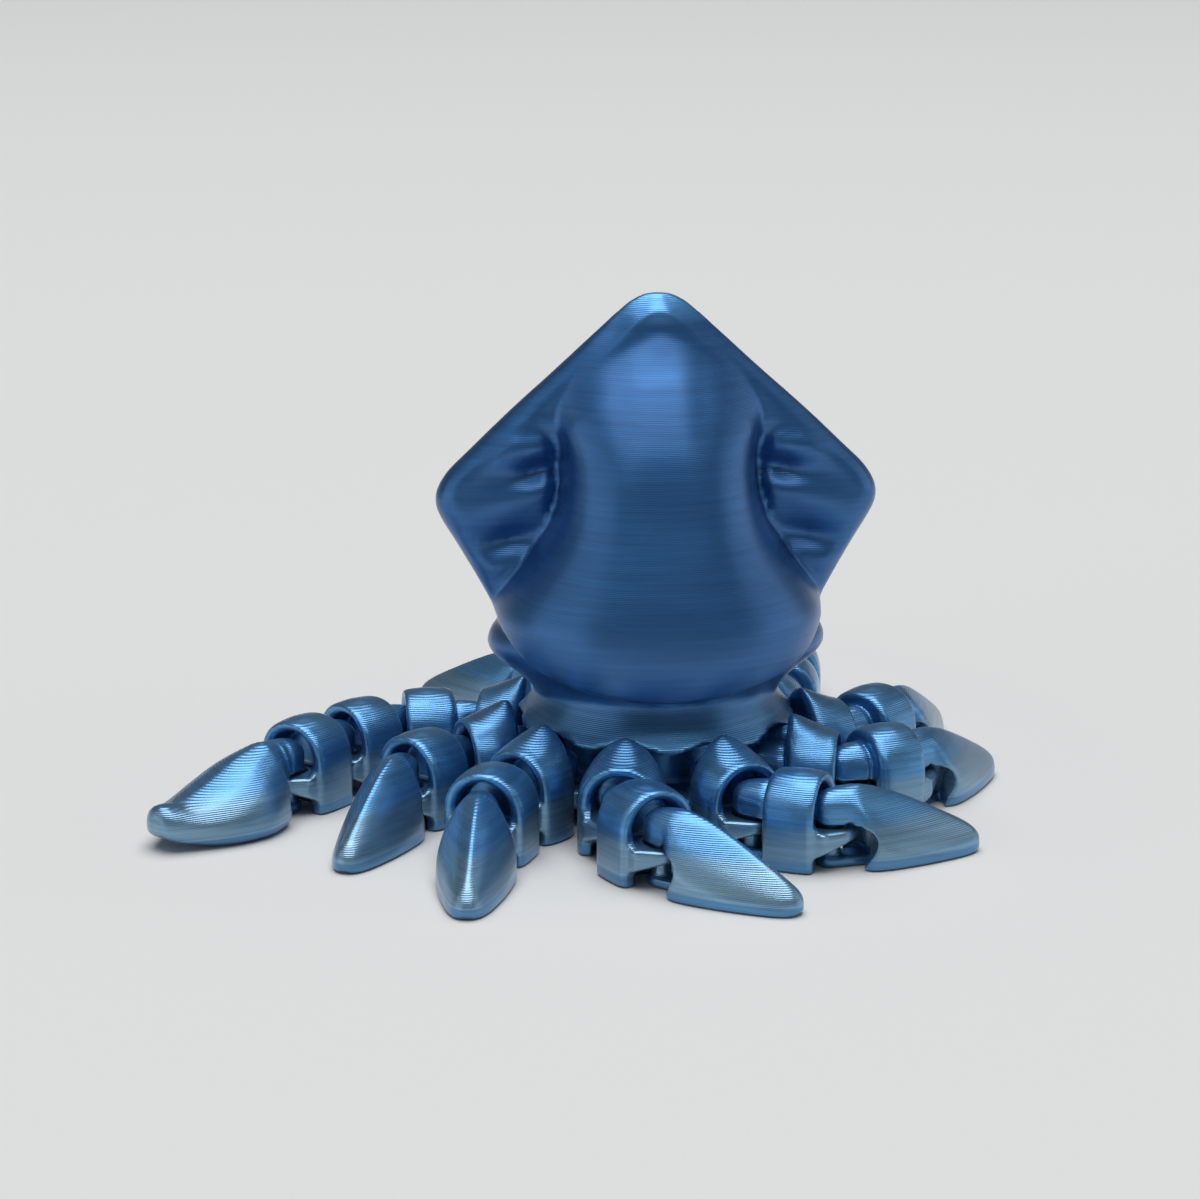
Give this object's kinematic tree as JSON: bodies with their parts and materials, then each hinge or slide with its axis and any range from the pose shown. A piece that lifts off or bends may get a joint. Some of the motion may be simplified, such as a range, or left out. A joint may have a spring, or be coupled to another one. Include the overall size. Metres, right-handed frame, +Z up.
{
  "type": "jointed squid figure",
  "caption": "Printed toy squid: finned mantle standing on a hub, with short arms and long tentacles of hooked links that turn sideways on a table.",
  "frame": {"origin": "centre of the hub's flat underside, on the table", "axes": "+Z up along the mantle, fins along X, front of the figure toward -Y"},
  "size_m": [0.1063, 0.112, 0.0634],
  "materials": {
    "silk_plastic": "silk"
  },
  "bodies": {
    "body": {"body": "silk_plastic"},
    "arm_front_right_root": {"arm_front_right_root": "silk_plastic"},
    "arm_front_right_link2": {"arm_front_right_link2": "silk_plastic"},
    "arm_front_right_tip": {"arm_front_right_tip": "silk_plastic"},
    "arm_fore_right_root": {"arm_fore_right_root": "silk_plastic"},
    "arm_fore_right_link2": {"arm_fore_right_link2": "silk_plastic"},
    "arm_fore_right_tip": {"arm_fore_right_tip": "silk_plastic"},
    "arm_side_right_root": {"arm_side_right_root": "silk_plastic"},
    "arm_side_right_link2": {"arm_side_right_link2": "silk_plastic"},
    "arm_side_right_tip": {"arm_side_right_tip": "silk_plastic"},
    "tentacle_right_root": {"tentacle_right_root": "silk_plastic"},
    "tentacle_right_link2": {"tentacle_right_link2": "silk_plastic"},
    "tentacle_right_link3": {"tentacle_right_link3": "silk_plastic"},
    "tentacle_right_link4": {"tentacle_right_link4": "silk_plastic"},
    "tentacle_right_club": {"tentacle_right_club": "silk_plastic"},
    "arm_rear_right_root": {"arm_rear_right_root": "silk_plastic"},
    "arm_rear_right_link2": {"arm_rear_right_link2": "silk_plastic"},
    "arm_rear_right_tip": {"arm_rear_right_tip": "silk_plastic"},
    "arm_rear_left_root": {"arm_rear_left_root": "silk_plastic"},
    "arm_rear_left_link2": {"arm_rear_left_link2": "silk_plastic"},
    "arm_rear_left_tip": {"arm_rear_left_tip": "silk_plastic"},
    "tentacle_left_root": {"tentacle_left_root": "silk_plastic"},
    "tentacle_left_link2": {"tentacle_left_link2": "silk_plastic"},
    "tentacle_left_link3": {"tentacle_left_link3": "silk_plastic"},
    "tentacle_left_link4": {"tentacle_left_link4": "silk_plastic"},
    "tentacle_left_club": {"tentacle_left_club": "silk_plastic"},
    "arm_side_left_root": {"arm_side_left_root": "silk_plastic"},
    "arm_side_left_link2": {"arm_side_left_link2": "silk_plastic"},
    "arm_side_left_tip": {"arm_side_left_tip": "silk_plastic"},
    "arm_fore_left_root": {"arm_fore_left_root": "silk_plastic"},
    "arm_fore_left_link2": {"arm_fore_left_link2": "silk_plastic"},
    "arm_fore_left_tip": {"arm_fore_left_tip": "silk_plastic"},
    "arm_front_left_root": {"arm_front_left_root": "silk_plastic"},
    "arm_front_left_link2": {"arm_front_left_link2": "silk_plastic"},
    "arm_front_left_tip": {"arm_front_left_tip": "silk_plastic"}
  },
  "joints": [
    {"name": "arm_front_right_root_hinge", "type": "hinge", "parent": "body", "child": "arm_front_right_root", "pos_m": [0.00479, -0.01474, 0.0033], "axis": [0, 0, 1], "range_deg": [-22, 14]},
    {"name": "arm_front_right_link2_hinge", "type": "hinge", "parent": "arm_front_right_root", "child": "arm_front_right_link2", "pos_m": [0.00904, -0.02346, 0.0033], "axis": [0, 0, 1], "range_deg": [-50, 4]},
    {"name": "arm_front_right_tip_hinge", "type": "hinge", "parent": "arm_front_right_link2", "child": "arm_front_right_tip", "pos_m": [0.01776, -0.02771, 0.0033], "axis": [0, 0, 1], "range_deg": [-60, 5]},
    {"name": "arm_fore_right_root_hinge", "type": "hinge", "parent": "body", "child": "arm_fore_right_root", "pos_m": [0.01254, -0.00911, 0.0033], "axis": [0, 0, 1], "range_deg": [-26, 4]},
    {"name": "arm_fore_right_link2_hinge", "type": "hinge", "parent": "arm_fore_right_root", "child": "arm_fore_right_link2", "pos_m": [0.02176, -0.01141, 0.0033], "axis": [0, 0, 1], "range_deg": [-52, 4]},
    {"name": "arm_fore_right_tip_hinge", "type": "hinge", "parent": "arm_fore_right_link2", "child": "arm_fore_right_tip", "pos_m": [0.03038, -0.00793, 0.0033], "axis": [0, 0, 1], "range_deg": [-60, 10]},
    {"name": "arm_side_right_root_hinge", "type": "hinge", "parent": "body", "child": "arm_side_right_root", "pos_m": [0.0153, 0, 0.0033], "axis": [0, 0, 1], "range_deg": [-3, 4]},
    {"name": "arm_side_right_link2_hinge", "type": "hinge", "parent": "arm_side_right_root", "child": "arm_side_right_link2", "pos_m": [0.02423, 0.00325, 0.0033], "axis": [0, 0, 1], "range_deg": [-9, 16]},
    {"name": "arm_side_right_tip_hinge", "type": "hinge", "parent": "arm_side_right_link2", "child": "arm_side_right_tip", "pos_m": [0.03092, 0.00971, 0.0033], "axis": [0, 0, 1], "range_deg": [-33, 16]},
    {"name": "tentacle_right_root_hinge", "type": "hinge", "parent": "body", "child": "tentacle_right_root", "pos_m": [0.01254, 0.00911, 0.0033], "axis": [0, 0, 1], "range_deg": [-12, 3]},
    {"name": "tentacle_right_link2_hinge", "type": "hinge", "parent": "tentacle_right_root", "child": "tentacle_right_link2", "pos_m": [0.01768, 0.01734, 0.0033], "axis": [0, 0, 1], "range_deg": [-25, 8]},
    {"name": "tentacle_right_link3_hinge", "type": "hinge", "parent": "tentacle_right_link2", "child": "tentacle_right_link3", "pos_m": [0.01961, 0.02643, 0.0033], "axis": [0, 0, 1], "range_deg": [-24, 10]},
    {"name": "tentacle_right_link4_hinge", "type": "hinge", "parent": "tentacle_right_link3", "child": "tentacle_right_link4", "pos_m": [0.02091, 0.03564, 0.0033], "axis": [0, 0, 1], "range_deg": [-28, 10]},
    {"name": "tentacle_right_club_hinge", "type": "hinge", "parent": "tentacle_right_link4", "child": "tentacle_right_club", "pos_m": [0.02058, 0.04494, 0.0033], "axis": [0, 0, 1], "range_deg": [-25, 13]},
    {"name": "arm_rear_right_root_hinge", "type": "hinge", "parent": "body", "child": "arm_rear_right_root", "pos_m": [0.00479, 0.01474, 0.0033], "axis": [0, 0, 1], "range_deg": [-8, 4]},
    {"name": "arm_rear_right_link2_hinge", "type": "hinge", "parent": "arm_rear_right_root", "child": "arm_rear_right_link2", "pos_m": [0.00545, 0.02422, 0.0033], "axis": [0, 0, 1], "range_deg": [-26, 8]},
    {"name": "arm_rear_right_tip_hinge", "type": "hinge", "parent": "arm_rear_right_link2", "child": "arm_rear_right_tip", "pos_m": [0.00352, 0.03331, 0.0033], "axis": [0, 0, 1], "range_deg": [-40, 9]},
    {"name": "arm_rear_left_root_hinge", "type": "hinge", "parent": "body", "child": "arm_rear_left_root", "pos_m": [-0.00479, 0.01474, 0.0033], "axis": [0, 0, 1], "range_deg": [-4, 24]},
    {"name": "arm_rear_left_link2_hinge", "type": "hinge", "parent": "arm_rear_left_root", "child": "arm_rear_left_link2", "pos_m": [-0.00773, 0.02378, 0.0033], "axis": [0, 0, 1], "range_deg": [-23, 24]},
    {"name": "arm_rear_left_tip_hinge", "type": "hinge", "parent": "arm_rear_left_link2", "child": "arm_rear_left_tip", "pos_m": [-0.01238, 0.03183, 0.0033], "axis": [0, 0, 1], "range_deg": [-42, 8]},
    {"name": "tentacle_left_root_hinge", "type": "hinge", "parent": "body", "child": "tentacle_left_root", "pos_m": [-0.01254, 0.00911, 0.0033], "axis": [0, 0, 1], "range_deg": [-30, 4]},
    {"name": "tentacle_left_link2_hinge", "type": "hinge", "parent": "tentacle_left_root", "child": "tentacle_left_link2", "pos_m": [-0.02199, 0.01129, 0.0033], "axis": [0, 0, 1], "range_deg": [-42, 3]},
    {"name": "tentacle_left_link3_hinge", "type": "hinge", "parent": "tentacle_left_link2", "child": "tentacle_left_link3", "pos_m": [-0.03168, 0.01078, 0.0033], "axis": [0, 0, 1], "range_deg": [-44, 3]},
    {"name": "tentacle_left_link4_hinge", "type": "hinge", "parent": "tentacle_left_link3", "child": "tentacle_left_link4", "pos_m": [-0.03942, 0.00495, 0.0033], "axis": [0, 0, 1], "range_deg": [-39, 7]},
    {"name": "tentacle_left_club_hinge", "type": "hinge", "parent": "tentacle_left_link4", "child": "tentacle_left_club", "pos_m": [-0.04579, -0.00237, 0.0033], "axis": [0, 0, 1], "range_deg": [-27, 14]},
    {"name": "arm_side_left_root_hinge", "type": "hinge", "parent": "body", "child": "arm_side_left_root", "pos_m": [-0.0155, 0, 0.0033], "axis": [0, 0, 1], "range_deg": [-12, 3]},
    {"name": "arm_side_left_link2_hinge", "type": "hinge", "parent": "arm_side_left_root", "child": "arm_side_left_link2", "pos_m": [-0.02478, -0.00284, 0.0033], "axis": [0, 0, 1], "range_deg": [-24, 3]},
    {"name": "arm_side_left_tip_hinge", "type": "hinge", "parent": "arm_side_left_link2", "child": "arm_side_left_tip", "pos_m": [-0.03187, -0.00945, 0.0033], "axis": [0, 0, 1], "range_deg": [-40, 6]},
    {"name": "arm_fore_left_root_hinge", "type": "hinge", "parent": "body", "child": "arm_fore_left_root", "pos_m": [-0.01254, -0.00911, 0.0033], "axis": [0, 0, 1], "range_deg": [-12, 10]},
    {"name": "arm_fore_left_link2_hinge", "type": "hinge", "parent": "arm_fore_left_root", "child": "arm_fore_left_link2", "pos_m": [-0.01916, -0.0162, 0.0033], "axis": [0, 0, 1], "range_deg": [-26, 21]},
    {"name": "arm_fore_left_tip_hinge", "type": "hinge", "parent": "arm_fore_left_link2", "child": "arm_fore_left_tip", "pos_m": [-0.02317, -0.02481, 0.0033], "axis": [0, 0, 1], "range_deg": [-56, 19]},
    {"name": "arm_front_left_root_hinge", "type": "hinge", "parent": "body", "child": "arm_front_left_root", "pos_m": [-0.00479, -0.01474, 0.0033], "axis": [0, 0, 1], "range_deg": [-14, 12]},
    {"name": "arm_front_left_link2_hinge", "type": "hinge", "parent": "arm_front_left_root", "child": "arm_front_left_link2", "pos_m": [-0.00681, -0.02423, 0.0033], "axis": [0, 0, 1], "range_deg": [-60, 4]},
    {"name": "arm_front_left_tip_hinge", "type": "hinge", "parent": "arm_front_left_link2", "child": "arm_front_left_tip", "pos_m": [-0.00255, -0.03295, 0.0033], "axis": [0, 0, 1], "range_deg": [-60, 20]}
  ]
}
